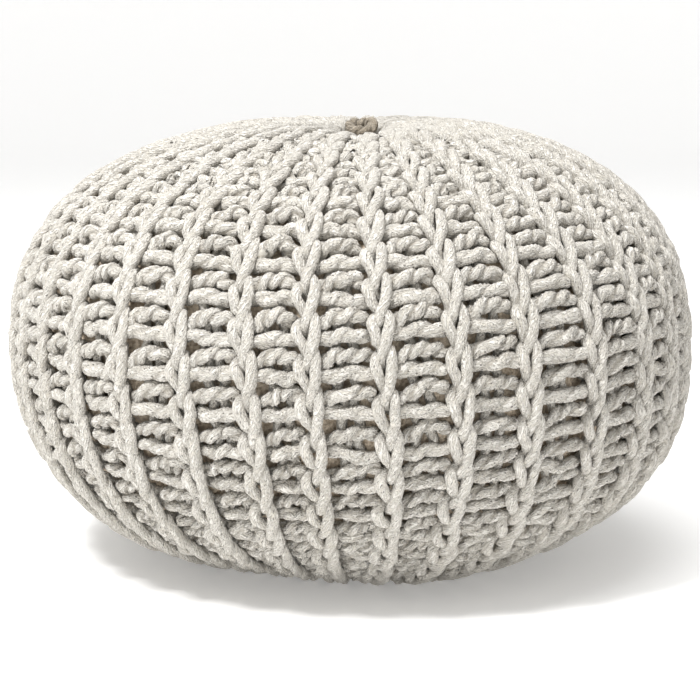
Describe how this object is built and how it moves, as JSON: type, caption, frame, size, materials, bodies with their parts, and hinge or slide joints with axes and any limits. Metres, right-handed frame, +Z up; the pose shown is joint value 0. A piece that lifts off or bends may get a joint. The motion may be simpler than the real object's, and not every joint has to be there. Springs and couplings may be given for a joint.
{
  "type": "knitted pouf",
  "caption": "Round knitted pouf: a squat stuffed floor cushion with upright ribs of cord stitches, gathered to a small hole at the top.",
  "frame": {"origin": "middle of the pouf's box, on the floor that its flat foot rests on", "axes": "+Z up through the gather; +X and +Y level, with -Y the side seen from the front"},
  "size_m": [0.5016, 0.4984, 0.3166],
  "materials": {
    "cord_knit": "matt undyed cotton cord, loosely plied, knitted in wide ribs"
  },
  "bodies": {
    "root": {"knitted_pouf": "cord_knit"}
  },
  "joints": []
}
